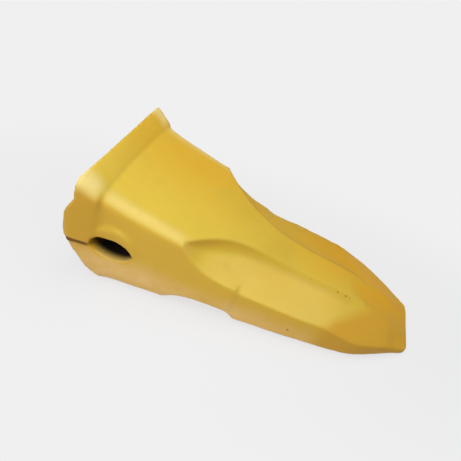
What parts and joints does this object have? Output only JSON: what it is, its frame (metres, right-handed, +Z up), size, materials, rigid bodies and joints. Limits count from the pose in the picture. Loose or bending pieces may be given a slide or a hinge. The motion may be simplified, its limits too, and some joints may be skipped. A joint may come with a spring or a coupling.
{
  "type": "rock bucket tooth",
  "caption": "Cast rock bucket tooth: hollow rear box with nose socket and pin ears, ribbed blade with scooped flanks and a chisel edge, painted yellow.",
  "frame": {"origin": "centre of the bounding box's footprint, on the floor under the flat keel", "axes": "+X from the hollow box to the chisel edge, +Y across the tooth from one pin ear to the other, +Z up from the keel"},
  "size_m": [0.312, 0.1616, 0.1094],
  "materials": {
    "painted_cast_steel": "satin yellow paint over cast steel"
  },
  "bodies": {
    "root": {"bucket_tooth": "painted_cast_steel"}
  },
  "joints": []
}
